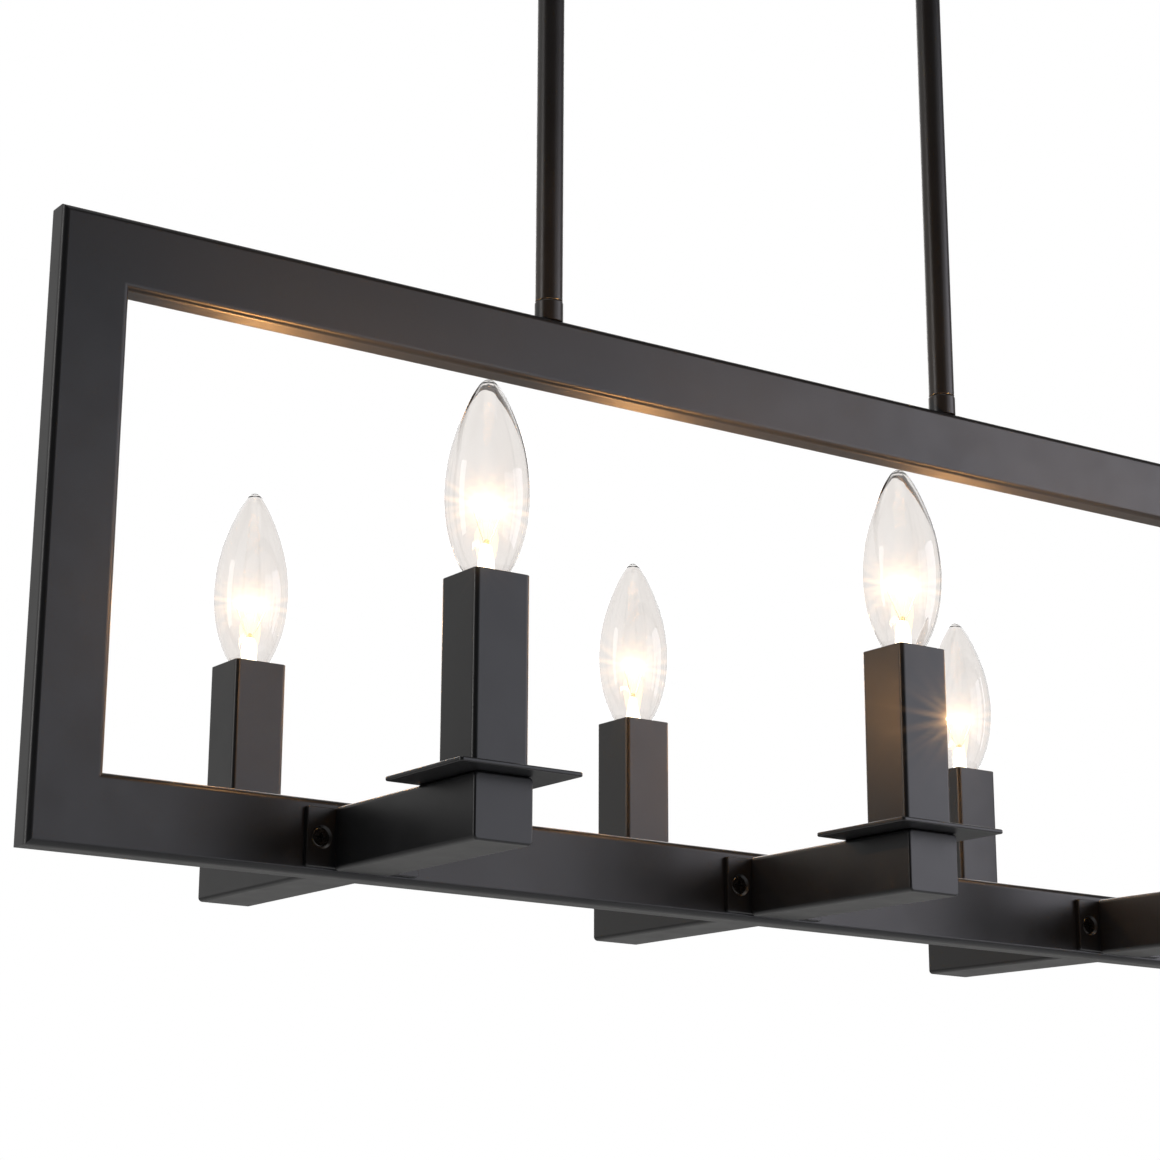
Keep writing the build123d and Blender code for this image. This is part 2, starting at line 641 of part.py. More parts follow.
NUT_YS = (17.5, 29.0, 40.5)
LEAD_Z = -9.0
leads = [run([(-STEM_X, 0, BALL_Z + PIVOT_GAP), (-STEM_X, 0, LEAD_Z), (-88.0, 29.0, LEAD_Z),
              (-64.0, 29.0, LEAD_Z)], [8.0, 24.0], CABLE_R)]
for k, y in zip((-1, 0, 1), NUT_YS):
    y0 = 29.0 + 1.3 * k
    if k == 0:
        leads.append(run([(-64.0 + BUTT, y0, LEAD_Z), (-30.0 - BUTT, y0, LEAD_Z)], None, WIRE_R))
    else:
        leads.append(run([(-64.0 + BUTT, y0, LEAD_Z), (-56.0, y0, LEAD_Z), (-40.0, y, LEAD_Z),
                          (-30.0 - BUTT, y, LEAD_Z)], [10.0, 10.0], WIRE_R))
with BuildPart() as canopy_leads:
    for wire in leads:
        add(wire.part)
save(canopy_leads, "canopy_leads")

with BuildPart() as wire_nut:
    with BuildSketch(Plane.XZ):
        with BuildLine():
            Polyline((0, 0), (4.6, 0), (5.2, 1.0), (5.2, 4.5), (4.4, 5.5), (3.4, 16.0), (2.4, 17.5),
                     (0, 17.5), close=True)
        make_face()
    revolve(axis=Axis.Z)
    for a in range(6):
        with BuildSketch(Plane.XY.offset(5.5)):
            with PolarLocations(4.9, 1, start_angle=60 * a):
                Circle(0.9)
        extrude(amount=12.5, mode=Mode.SUBTRACT)
group(wire_nut, [Location(Plane(origin=(-30.0, y, LEAD_Z), x_dir=(0, 1, 0), z_dir=(1, 0, 0)))
                 for y in NUT_YS], "wire_nuts")
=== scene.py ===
import math

import bmesh
import bpy
from mathutils import Matrix, Vector


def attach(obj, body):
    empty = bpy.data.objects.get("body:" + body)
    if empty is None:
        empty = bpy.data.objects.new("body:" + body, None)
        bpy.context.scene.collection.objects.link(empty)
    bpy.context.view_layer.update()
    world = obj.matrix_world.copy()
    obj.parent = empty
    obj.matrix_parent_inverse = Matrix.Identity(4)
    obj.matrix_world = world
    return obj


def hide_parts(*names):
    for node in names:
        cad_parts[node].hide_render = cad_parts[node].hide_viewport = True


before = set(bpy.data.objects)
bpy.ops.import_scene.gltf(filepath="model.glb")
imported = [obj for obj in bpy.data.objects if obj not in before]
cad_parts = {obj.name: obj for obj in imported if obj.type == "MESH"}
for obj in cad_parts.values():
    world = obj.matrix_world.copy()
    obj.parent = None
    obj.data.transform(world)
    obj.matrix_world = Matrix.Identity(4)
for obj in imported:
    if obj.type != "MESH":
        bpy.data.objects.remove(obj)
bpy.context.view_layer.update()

MM = 0.001
PI = math.pi
D = bpy.data

# Dimensions shared with the model, millimetres
Z_SLEEVE = -676.9
CANDLE_Y = 100.0
ARM_PITCH = 216.6
PLACES = {"left": -ARM_PITCH, "middle": 0.0, "right": ARM_PITCH}
SIDES = {"front": -CANDLE_Y, "back": CANDLE_Y}


# ---------------------------------------------------------------------------
# Materials
# ---------------------------------------------------------------------------

class Nodes:
    """A material's node tree with short ways to add and link nodes."""

    def __init__(self, name):
        self.mat = D.materials.new(name)
        self.mat.use_nodes = True
        self.tree = self.mat.node_tree
        self.tree.nodes.clear()
        self.out = self.new("ShaderNodeOutputMaterial")
        self.coords = None

    def new(self, kind, **values):
        n = self.tree.nodes.new(kind)
        for k, v in values.items():
            setattr(n, k, v)
        return n

    def link(self, a, b):
        self.tree.links.new(a, b)

    def place(self):
        if self.coords is None:
            self.coords = self.new("ShaderNodeTexCoord").outputs["Object"]
        return self.coords

    def noise(self, scale, detail=2.0, rough=0.5, stretch=None):
        n = self.new("ShaderNodeTexNoise")
        n.inputs["Scale"].default_value = scale
        n.inputs["Detail"].default_value = detail
        n.inputs["Roughness"].default_value = rough
        if stretch:
            m = self.new("ShaderNodeMapping")
            m.inputs["Scale"].default_value = stretch
            self.link(self.place(), m.inputs["Vector"])
            self.link(m.outputs["Vector"], n.inputs["Vector"])
        else:
            self.link(self.place(), n.inputs["Vector"])
        return n.outputs["Fac"]

    def remap(self, value, low, high, start=0.3, end=0.7):
        n = self.new("ShaderNodeMapRange")
        n.inputs["From Min"].default_value = start
        n.inputs["From Max"].default_value = end
        n.inputs["To Min"].default_value = low
        n.inputs["To Max"].default_value = high
        self.link(value, n.inputs["Value"])
        return n.outputs["Result"]

    def ramp(self, value, stops):
        n = self.new("ShaderNodeValToRGB")
        el = n.color_ramp.elements
        while len(el) < len(stops):
            el.new(0.5)
        for e, (p, c) in zip(el, stops):
            e.position = p
            e.color = (*c, 1.0)
        self.link(value, n.inputs["Fac"])
        return n.outputs["Color"]

    def bump(self, height, strength, distance, normal=None):
        n = self.new("ShaderNodeBump")
        n.inputs["Strength"].default_value = strength
        n.inputs["Distance"].default_value = distance
        self.link(height, n.inputs["Height"])
        if normal is not None:
            self.link(normal, n.inputs["Normal"])
        return n.outputs["Normal"]

    def principled(self, **values):
        n = self.new("ShaderNodeBsdfPrincipled")
        for k, v in values.items():
            n.inputs[k.replace("_", " ")].default_value = v
        return n

    def finish(self, shader):
        self.link(shader, self.out.inputs["Surface"])
        return self.mat


def coated_metal(name, dark, light, rough, peel, peel_size, spec=0.5):
    """Sprayed or plated finish: faint cloudiness, fine orange peel, uneven gloss."""
    m = Nodes(name)
    p = m.principled(IOR=1.5)
    p.inputs["Specular IOR Level"].default_value = spec
    cloud = m.noise(14.0, 3.0, 0.55)
    m.link(m.ramp(cloud, [(0.3, dark), (0.7, light)]), p.inputs["Base Color"])
    gloss = m.noise(55.0, 4.0, 0.6)
    m.link(m.remap(gloss, rough - 0.035, rough + 0.035), p.inputs["Roughness"])
    fine = m.noise(1.0 / peel_size, 2.0, 0.5)
    speck = m.noise(3.2 / peel_size, 1.0, 0.5)
    n1 = m.bump(fine, peel, 0.00006)
    m.link(m.bump(speck, peel * 0.6, 0.00002, n1), p.inputs["Normal"])
    return m.finish(p.outputs["BSDF"])


def bare_metal(name, colours, rough, grain=(1, 1, 1), grain_scale=300.0, strength=0.15):
    """Plated or rolled metal with a drawn grain."""
    m = Nodes(name)
    p = m.principled(Metallic=1.0)
    tone = m.noise(40.0, 4.0, 0.6)
    m.link(m.ramp(tone, [(0.25, colours[0]), (0.75, colours[1])]), p.inputs["Base Color"])
    g = m.noise(grain_scale, 3.0, 0.6, grain)
    m.link(m.remap(g, rough - 0.07, rough + 0.09), p.inputs["Roughness"])
    m.link(m.bump(g, strength, 0.00002), p.inputs["Normal"])
    return m.finish(p.outputs["BSDF"])


def moulded(name, dark, light, rough, scale=400.0, strength=0.15, spec=0.5):
    """Moulded or extruded plastic."""
    m = Nodes(name)
    p = m.principled(IOR=1.48)
    p.inputs["Specular IOR Level"].default_value = spec
    tone = m.noise(60.0, 3.0, 0.6)
    m.link(m.ramp(tone, [(0.3, dark), (0.7, light)]), p.inputs["Base Color"])
    g = m.noise(scale, 3.0, 0.55)
    m.link(m.remap(g, rough - 0.05, rough + 0.06), p.inputs["Roughness"])
    m.link(m.bump(g, strength, 0.00003), p.inputs["Normal"])
    return m.finish(p.outputs["BSDF"])


def glass(name, tint, tint2, wave_scale, wave, rough=0.0, painted_glow=None):
    """Clear blown glass that lets the lamp's own light through; painted_glow lays a painted glow of
    the lamp's light on the glass.
    """
    m = Nodes(name)
    g = m.principled(IOR=1.47, Roughness=rough)
    g.inputs["Transmission Weight"].default_value = 1.0
    streak = m.noise(wave_scale, 2.0, 0.5, (1.0, 1.0, 0.18))
    m.link(m.ramp(streak, [(0.3, tint), (0.7, tint2)]), g.inputs["Base Color"])
    m.link(m.bump(streak, wave, 0.0002), g.inputs["Normal"])
    # painted glow: an emission that stands in for the filament's light caught in the glass; it lights
    # nothing
    if painted_glow:
        low, high, colour = painted_glow
        g.inputs["Emission Color"].default_value = (*colour, 1.0)
        m.link(m.remap(m.noise(420.0, 3.0, 0.6), low, high, 0.35, 0.65), g.inputs["Emission Strength"])
    clear = m.new("ShaderNodeBsdfTransparent")
    m.link(m.ramp(streak, [(0.3, tint), (0.7, tint2)]), clear.inputs["Color"])
    path = m.new("ShaderNodeLightPath")
    mix = m.new("ShaderNodeMixShader")
    m.link(path.outputs["Is Shadow Ray"], mix.inputs["Fac"])
    m.link(g.outputs["BSDF"], mix.inputs[1])
    m.link(clear.outputs["BSDF"], mix.inputs[2])
    return m.finish(mix.outputs["Shader"])


def glowing(name, colour, strength, base):
    """Hot tungsten: brightest in the middle of the coil, cooler at its ends."""
    m = Nodes(name)
    p = m.principled(Metallic=1.0, Roughness=0.4)
    p.inputs["Base Color"].default_value = (*base, 1.0)
    t = m.noise(900.0, 2.0, 0.5)
    m.link(m.ramp(t, [(0.2, tuple(c * 0.9 for c in colour)), (0.8, colour)]),
           p.inputs["Emission Color"])
    sep = m.new("ShaderNodeSeparateXYZ")
    m.link(m.place(), sep.inputs["Vector"])
    ab = m.new("ShaderNodeMath", operation="ABSOLUTE")
    m.link(sep.outputs["X"], ab.inputs[0])
    m.link(m.remap(ab.outputs[0], strength, strength * 0.25, 0.0045, 0.0078),
           p.inputs["Emission Strength"])
    mat = m.finish(p.outputs["BSDF"])
    mat.cycles.emission_sampling = "NONE"
    return mat


black_coat = coated_metal("black_coat", (0.0082, 0.0088, 0.0098), (0.0102, 0.0108, 0.0120),
                          0.33, 0.07, 0.0011, 0.56)
black_oxide = bare_metal("black_oxide", ((0.085, 0.083, 0.081), (0.14, 0.137, 0.133)), 0.26,
                         grain_scale=500.0)
zinc_steel = bare_metal("zinc_steel", ((0.50, 0.50, 0.49), (0.66, 0.66, 0.64)), 0.34,
                        grain=(0.05, 1, 1), grain_scale=900.0)
green_paint = coated_metal("green_paint", (0.012, 0.13, 0.035), (0.018, 0.17, 0.05), 0.32, 0.2, 0.001)
black_wire = moulded("black_wire", (0.010, 0.010, 0.010), (0.022, 0.022, 0.022), 0.42, 350.0, 0.25)
wire_nut_plastic = moulded("wire_nut_plastic", (0.50, 0.115, 0.012), (0.60, 0.15, 0.02), 0.38)
phenolic = moulded("phenolic", (0.018, 0.014, 0.012), (0.035, 0.027, 0.022), 0.33, 220.0, 0.2)
brass_contact = bare_metal("brass_contact", ((0.60, 0.40, 0.15), (0.76, 0.53, 0.23)), 0.28,
                           grain_scale=400.0)
nickel_base = bare_metal("nickel_base", ((0.58, 0.55, 0.50), (0.74, 0.71, 0.66)), 0.22,
                         grain=(1, 1, 6), grain_scale=260.0, strength=0.12)
solder = bare_metal("lamp_tip_solder", ((0.45, 0.45, 0.46), (0.70, 0.70, 0.70)), 0.42,
                    grain_scale=700.0, strength=0.4)
black_vitrite = moulded("lamp_insulator", (0.008, 0.006, 0.009), (0.016, 0.012, 0.018), 0.12,
                        300.0, 0.1)
clear_glass = glass("clear_glass", (0.908, 0.884, 0.864), (0.945, 0.926, 0.910), 90.0, 0.15)
# the stem glass carries a painted glow in place of the filament's light caught in it
mount_glass_painted_glow = glass("mount_glass_painted_glow", (0.96, 0.95, 0.93), (0.985, 0.98, 0.97), 300.0, 0.10,
                    painted_glow=(0.45, 1.25, (1.0, 0.92, 0.74)))
mount_glass_painted_glow.cycles.emission_sampling = "NONE"
bead_glass = glass("bead_glass", (0.95, 0.80, 0.50), (0.98, 0.86, 0.60), 500.0, 0.10)
lead_wire = bare_metal("lead_wire", ((0.70, 0.66, 0.60), (0.84, 0.81, 0.76)), 0.30,
                       grain_scale=1500.0)
hot_filament = glowing("hot_filament", (1.0, 0.80, 0.52), 900.0, (0.25, 0.2, 0.16))

FINISH = {
    "ceiling_bracket": zinc_steel, "canopy_cover": black_coat, "canopy_studs": zinc_steel,
    "stud_nuts": zinc_steel, "canopy_cap_nuts": black_coat, "ground_screw": green_paint,
    "swivel_cups": black_coat, "swivel_nipples": black_coat, "swivel_locknuts": zinc_steel,
    "canopy_leads": black_wire, "wire_nuts": wire_nut_plastic, "swivel_balls": black_coat,
    "stems_upper": black_coat, "stems_lower": black_coat, "stem_couplers": zinc_steel,
    "stem_collars": black_coat, "flange_screws": black_oxide, "drip_pans": black_coat,
    "candle_sleeves": black_coat, "socket_bodies": phenolic, "socket_shells": brass_contact,
    "socket_contacts": brass_contact, "socket_brackets": zinc_steel,
    "socket_nipples": zinc_steel, "socket_nuts": zinc_steel, "wiring_harness": black_wire,
}

for name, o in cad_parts.items():
    mat = FINISH.get(name)
    if mat is None and (name.startswith("frame_") or name.startswith("arm_")):
        mat = black_coat
    if mat is None:
        continue
    for s in o.material_slots:
        s.material = mat


# ---------------------------------------------------------------------------
# Mesh helpers; profiles and points are in millimetres
# ---------------------------------------------------------------------------

def to_object(bm, name, mat, sharp=35.0):
    bmesh.ops.recalc_face_normals(bm, faces=bm.faces)
    me = D.meshes.new(name)
    bm.to_mesh(me)
    bm.free()
    for p in me.polygons:
        p.use_smooth = True
    me.set_sharp_from_angle(angle=math.radians(sharp))
    me.materials.append(mat)
    return me


def spline(points, per=8):
    """Smooth curve through points (centripetal Catmull-Rom)."""
    pts = [Vector(p) for p in points]
    pts = [pts[0] * 2 - pts[1]] + pts + [pts[-1] * 2 - pts[-2]]
    out = []
    for i in range(1, len(pts) - 2):
        p0, p1, p2, p3 = pts[i - 1:i + 3]
        t0 = 0.0
        t1 = t0 + max((p1 - p0).length, 1e-6) ** 0.5
        t2 = t1 + max((p2 - p1).length, 1e-6) ** 0.5
        t3 = t2 + max((p3 - p2).length, 1e-6) ** 0.5
        for k in range(per):
            t = t1 + (t2 - t1) * k / per
            a1 = p0 * ((t1 - t) / (t1 - t0)) + p1 * ((t - t0) / (t1 - t0))
            a2 = p1 * ((t2 - t) / (t2 - t1)) + p2 * ((t - t1) / (t2 - t1))
            a3 = p2 * ((t3 - t) / (t3 - t2)) + p3 * ((t - t2) / (t3 - t2))
            b1 = a1 * ((t2 - t) / (t2 - t0)) + a2 * ((t - t0) / (t2 - t0))
            b2 = a2 * ((t3 - t) / (t3 - t1)) + a3 * ((t - t1) / (t3 - t1))
            out.append(b1 * ((t2 - t) / (t2 - t1)) + b2 * ((t - t1) / (t2 - t1)))
    out.append(pts[-2])
    return out


def lathe_into(bm, prof, segs=96, loop=False, warp=None):
    """Turns a profile of (radius, height) about Z. warp moves a point (x, y, z)."""
    rings = []
    for r, z in prof:
        if r < 1e-5:
            row = [(0.0, 0.0, z)]
        else:
            row = [(r * math.cos(2 * PI * k / segs), r * math.sin(2 * PI * k / segs), z)
                   for k in range(segs)]
        rings.append([bm.verts.new([c * MM for c in (warp(*p) if warp else p)]) for p in row])
    n = len(rings)
    for i in range(n if loop else n - 1):
        a, b = rings[i], rings[(i + 1) % n]
        if len(a) == 1 and len(b) == 1:
            continue
        for k in range(segs):
            j = (k + 1) % segs
            if len(a) == 1:
                bm.faces.new((a[0], b[k], b[j]))
            elif len(b) == 1:
                bm.faces.new((a[k], b[0], a[j]))
            else:
                bm.faces.new((a[k], b[k], b[j], a[j]))


def tube_into(bm, points, radius, sides=10, caps=True):
    """A round wire along points, with frames carried along it."""
    pts = [Vector(p) for p in points]
    t0 = (pts[1] - pts[0]).normalized()
    ref = Vector((0, 0, 1)) if abs(t0.z) < 0.9 else Vector((1, 0, 0))
    u = t0.cross(ref).normalized()
    rings = []
    for i, p in enumerate(pts):
        t = (pts[min(i + 1, len(pts) - 1)] - pts[max(i - 1, 0)]).normalized()
        u = (u - t * u.dot(t)).normalized()
        v = t.cross(u)
        r = radius(i / (len(pts) - 1)) if callable(radius) else radius
        rings.append([bm.verts.new((p + (u * math.cos(2 * PI * k / sides) +
                                         v * math.sin(2 * PI * k / sides)) * r) * MM)
                      for k in range(sides)])
    for a, b in zip(rings, rings[1:]):
        for k in range(sides):
            j = (k + 1) % sides
            bm.faces.new((a[k], b[k], b[j], a[j]))
    if caps:
        bm.faces.new(rings[0][::-1])
        bm.faces.new(rings[-1])


# ---------------------------------------------------------------------------
# Lamps: heights are from the sleeve's top edge
# ---------------------------------------------------------------------------

GLASS = [(0.0, 82.3), (1.5, 82.0), (3.05, 80.8), (5.9, 76.7), (8.7, 71.3),
         (11.8, 63.8), (14.75, 54.7), (16.6, 45.7), (17.5, 33.0), (16.4, 20.6),
         (13.9, 10.9), (10.9, 4.1), (8.3, 0.0), (6.1, -4.9)]
INNER = [(0.0, 81.0), (2.5, 79.9), (5.2, 76.1), (8.0, 70.8), (11.1, 63.4), (14.05, 54.5),
         (15.9, 45.5), (16.8, 33.0), (15.7, 20.8), (13.2, 11.1), (10.2, 4.4), (7.6, 0.3),
         (5.4, -4.8)]


def smooth_profile(points, per=7):
    return [(max(v.x, 0.0), v.z) for v in spline([(r, 0, z) for r, z in points], per)]


def glass_mesh():
    outer = smooth_profile(GLASS)
    inner = smooth_profile(INNER)
    prof = outer + [(5.35, -7.6), (5.2, -8.9), (4.9, -9.05), (4.6, -8.9), (4.8, -7.4)] + inner[::-1]
    bm = bmesh.new()
    lathe_into(bm, prof, 128)
    return to_object(bm, "lamp_glass", clear_glass, 60.0)


THREAD_PITCH = 2.54


def base_mesh():
    """Rolled screw shell: rim, thread, and a turned-in lower end, 0.35 mm thick."""
    bm = bmesh.new()
    segs = 120

    def wave(r, z, depth, x, y):
        a = math.atan2(y, x)
        fade = min(max((z + 13.7) / 1.2, 0.0), 1.0) * min(max((-6.7 - z) / 0.8, 0.0), 1.0)
        c = 0.5 + 0.5 * math.cos(2 * PI * z / THREAD_PITCH - a)
        return r - depth * fade * (1.0 - c ** 0.8)

    outer = [(6.2, -4.9), (6.55, -4.95), (6.72, -5.2), (6.75, -5.65), (6.70, -6.05), (6.45, -6.3),
             (6.1, -6.5), (5.95, -6.75)]
    z = -6.9
    while z > -13.65:
        outer.append((5.95, z))
        z -= 0.15
    outer += [(5.9, -13.75), (5.72, -14.1), (5.4, -14.38), (5.0, -14.5), (4.2, -14.5), (3.45, -14.5)]
    inner = [(3.45, -14.2), (4.2, -14.2), (5.0, -14.15), (5.3, -13.95), (5.5, -13.6)]
    z = -13.4
    while z < -6.9:
        inner.append((5.62, z))
        z += 0.15
    inner += [(5.62, -6.8), (5.85, -6.3), (6.2, -6.05), (6.38, -5.65), (6.3, -5.25), (6.1, -5.1)]

    def warp(x, y, zz):
        r = math.hypot(x, y)
        if r < 5.5 or zz > -6.75 or zz < -13.7:
            return x, y, zz
        k = wave(r, zz, 0.42, x, y) / r
        return x * k, y * k, zz

    lathe_into(bm, outer + inner, segs, loop=True, warp=warp)
    return to_object(bm, "lamp_base", nickel_base, 50.0)


def tip_mesh():
    bm = bmesh.new()
    lathe_into(bm, [(0, -14.55), (4.9, -14.55), (5.1, -14.65), (5.05, -14.9), (4.75, -15.35),
                    (4.1, -15.9), (3.2, -16.4), (2.8, -16.65), (0, -16.7)], 72)
    me = to_object(bm, "lamp_tip", black_vitrite, 40.0)
    bm = bmesh.new()
    lathe_into(bm, [(0, -16.72), (2.4, -16.74), (2.55, -16.95), (2.45, -17.3), (2.1, -17.75),
                    (1.5, -18.08), (0.8, -18.18), (0, -18.2)], 48,
               warp=lambda x, y, z: (x * (1 + 0.05 * math.sin(3 * math.atan2(y, x))), y, z))
    me2 = to_object(bm, "lamp_solder", solder, 40.0)
    return me, me2


def mount_mesh():
    """Flared stem tube pressed flat around the lead wires."""
    bm = bmesh.new()
    outer = [(4.5, -8.8), (4.52, -8.4), (4.4, -7.0), (4.15, -5.0), (3.95, -2.0), (3.75, 1.0),
             (3.45, 4.0), (3.0, 7.5), (2.5, 10.5), (1.95, 12.6), (1.2, 13.5), (0, 13.7)]
    inner = [(0, 6.4), (0.9, 6.1), (1.9, 4.9), (2.7, 2.6), (3.1, 0.0), (3.35, -2.4), (3.6, -5.0),
             (3.85, -7.0), (4.0, -8.4), (4.05, -8.8)]
    outer = smooth_profile(outer, 4)
    inner = smooth_profile(inner, 4)

    def press(x, y, z):
        k = min(max((z - 3.0) / 6.0, 0.0), 1.0)
        k = k * k * (3 - 2 * k)
        return x * (1 + 0.28 * k), y * (1 - 0.42 * k), z

    lathe_into(bm, outer + inner, 64, warp=press)
    # the flare's lower rim is closed afterwards by close_rim
    bm.verts.ensure_lookup_table()
    me = to_object(bm, "lamp_mount", mount_glass_painted_glow, 50.0)
    return me


def close_rim(me):
    bm = bmesh.new()
    bm.from_mesh(me)
    edges = [e for e in bm.edges if e.is_boundary]
    if edges:
        bmesh.ops.bridge_loops(bm, edges=edges)
    bmesh.ops.recalc_face_normals(bm, faces=bm.faces)
    bm.to_mesh(me)
    bm.free()
    return me


HOT = [(-7.6, 0, 28.6), (-5.7, 0.15, 29.35), (-3.6, 0.25, 29.55), (-1.8, 0.1, 28.75), (0, 0, 28.4),
       (1.8, -0.1, 28.75), (3.6, -0.25, 29.55), (5.7, -0.15, 29.35), (7.6, 0, 28.6)]


def coil_mesh():
    """Coiled filament hung between the leads, its turns wound on a 0.4 mm radius."""
    path = spline(HOT, 40)
    length = [0.0]
    for a, b in zip(path, path[1:]):
        length.append(length[-1] + (b - a).length)
    total = length[-1]
    turns = 34
    n = turns * 14
    pts = []
    for i in range(n + 1):
        s = total * i / n
        k = max(j for j in range(len(length)) if length[j] <= s + 1e-9)
        k = min(k, len(path) - 2)
        f = (s - length[k]) / max(length[k + 1] - length[k], 1e-9)
        c = path[k].lerp(path[k + 1], f)
        t = (path[k + 1] - path[k]).normalized()
        u = t.cross(Vector((0, 1, 0))).normalized()
        v = t.cross(u)
        end = min(min(i, n - i) / 14.0, 1.0)
        a = 2 * PI * turns * i / n
        pts.append(c + (u * math.cos(a) + v * math.sin(a)) * 0.42 * end)
    bm = bmesh.new()
    tube_into(bm, pts, 0.13, 6)
    return to_object(bm, "lamp_coil", hot_filament, 80.0)


def leads_mesh():
    """Lead wires with their welded knuckles, and two support hooks."""
    bm = bmesh.new()
    for s in (-1, 1):
        tube_into(bm, spline([(s * 1.1, 0, -8.2), (s * 1.1, 0, 2.0), (s * 1.05, 0, 9.0),
                              (s * 1.25, 0, 13.4), (s * 3.2, 0, 18.0), (s * 5.6, 0, 23.6),
                              (s * 7.35, 0, 27.7), (s * 7.75, 0, 28.9), (s * 7.3, 0, 29.25)], 6),
                  0.24, 10)
        # knuckles where the wires are welded, below and above the press
        for zc, xc in ((-0.8, 1.1), (3.4, 1.1), (13.6, 1.34)):
            tube_into(bm, [(s * xc, 0, zc - 0.75), (s * xc, 0, zc - 0.45), (s * xc, 0, zc),
                           (s * xc, 0, zc + 0.45), (s * xc, 0, zc + 0.75)],
                      lambda t: 0.26 + 0.24 * math.sin(PI * t), 12)
        # support wire from the bead to the coil, ending in a small hook
        hook = [(s * 0.25, 0.1, 14.2), (s * 1.2, 0.5, 18.5), (s * 2.6, 0.55, 24.0),
                (s * 3.45, 0.35, 28.6)]
        for k in range(9):
            a = 2 * PI * k / 8
            hook.append((s * 3.6, 0.30 + 0.62 * math.cos(a) - 0.62 * 0, 29.5 + 0.62 * math.sin(a)))
        tube_into(bm, spline(hook, 4), 0.09, 8)
    return to_object(bm, "lamp_leads", lead_wire, 60.0)


def bead_mesh():
    bm = bmesh.new()
    lathe_into(bm, smooth_profile([(0, 15.6), (0.75, 15.35), (1.05, 14.6), (0.8, 13.75),
                                   (0.45, 13.3), (0.42, 13.05), (0, 13.03)], 5), 40)
    return to_object(bm, "lamp_bead", bead_glass, 70.0)


glass_me = glass_mesh()
base_me = base_mesh()
tip_me, solder_me = tip_mesh()
mount_me = close_rim(mount_mesh())
coil_me = coil_mesh()
leads_me = leads_mesh()
bead_me = bead_mesh()

TURN = {("front", "left"): 6, ("front", "middle"): -14, ("front", "right"): 22,
        ("back", "left"): -8, ("back", "middle"): 16, ("back", "right"): -20}

WARM = (1.0, 0.50, 0.16)


def put(name, me, place, turn, body, slot_name, *nodes):
    o = D.objects.new(name, me)
    bpy.context.scene.collection.objects.link(o)
    o.location = place
    o.rotation_euler = (0, 0, math.radians(turn))
    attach(o, body)
    if nodes:
        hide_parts(*nodes)
    return o


for (side, place), turn in TURN.items():
    lamp = f"bulb_{side}_{place}"
    at = Vector((PLACES[place], SIDES[side], Z_SLEEVE)) * MM
    put(f"{lamp}.envelope", glass_me, at, turn, lamp, "clear_glass", f"{lamp}_glass")
    put(f"{lamp}.screw_base", base_me, at, turn, lamp, "nickel_base", f"{lamp}_base")
    put(f"{lamp}.mount", mount_me, at, turn, lamp, "clear_glass", f"{lamp}_filament")
    put(f"{lamp}.leads", leads_me, at, turn, lamp, "hot_filament", f"{lamp}_filament")
    put(f"{lamp}.bead", bead_me, at, turn, lamp, "clear_glass")
    put(f"{lamp}.coil", coil_me, at, turn, lamp, "hot_filament", f"{lamp}_filament")
    put(f"{lamp}.insulator", tip_me, at, 0, lamp + "_contact", "lamp_tip", f"{lamp}_tip")
    put(f"{lamp}.solder", solder_me, at, 0, lamp + "_contact", "lamp_tip", f"{lamp}_tip")

    # the filament's light all round, and the stronger part that leaves through the tip
    for kind, energy in (("POINT", 0.25), ("SPOT", 2.05)):
        light = D.lights.new(f"{lamp}.light", kind)
        light.energy = energy
        light.color = WARM
        light.shadow_soft_size = 0.006
        lo = D.objects.new(f"{lamp}.light", light)
        bpy.context.scene.collection.objects.link(lo)
        lo.location = at + Vector((0, 0, 29 * MM))
        if kind == "SPOT":
            light.spot_size = math.radians(125)
            light.spot_blend = 0.6
            lo.rotation_euler = (PI, 0, 0)
        lo.visible_camera = False
        lo.visible_transmission = False
        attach(lo, lamp)


# ---------------------------------------------------------------------------
# Floor, world and studio lights
# ---------------------------------------------------------------------------

def floor_material():
    m = Nodes("studio_floor")
    p = m.principled(Roughness=0.75)
    p.inputs["Specular IOR Level"].default_value = 0.2
    tone = m.noise(0.8, 3.0, 0.5)
    pale = m.ramp(tone, [(0.3, (0.80, 0.80, 0.79)), (0.7, (0.84, 0.84, 0.83))])
    m.link(pale, p.inputs["Base Color"])
    # seen directly it is as pale as the backdrop and meets it softly; it lights the object as a plain
    # diffuse floor
    far = m.new("ShaderNodeVectorMath", operation="LENGTH")
    m.link(m.place(), far.inputs[0])
    shine = m.new("ShaderNodeEmission")
    m.link(m.remap(far.outputs["Value"], 0.86, 1.20, 1.5, 9.0), shine.inputs["Strength"])
    lifted = m.new("ShaderNodeMixShader")
    lifted.inputs["Fac"].default_value = 0.75
    m.link(p.outputs["BSDF"], lifted.inputs[1])
    m.link(shine.outputs["Emission"], lifted.inputs[2])
    path = m.new("ShaderNodeLightPath")
    mix = m.new("ShaderNodeMixShader")
    direct = m.new("ShaderNodeMath", operation="MAXIMUM")
    m.link(path.outputs["Is Camera Ray"], direct.inputs[0])
    m.link(path.outputs["Is Transmission Ray"], direct.inputs[1])
    m.link(direct.outputs[0], mix.inputs["Fac"])
    m.link(p.outputs["BSDF"], mix.inputs[1])
    m.link(lifted.outputs["Shader"], mix.inputs[2])
    mat = m.finish(mix.outputs["Shader"])
    mat.cycles.emission_sampling = "NONE"
    return mat


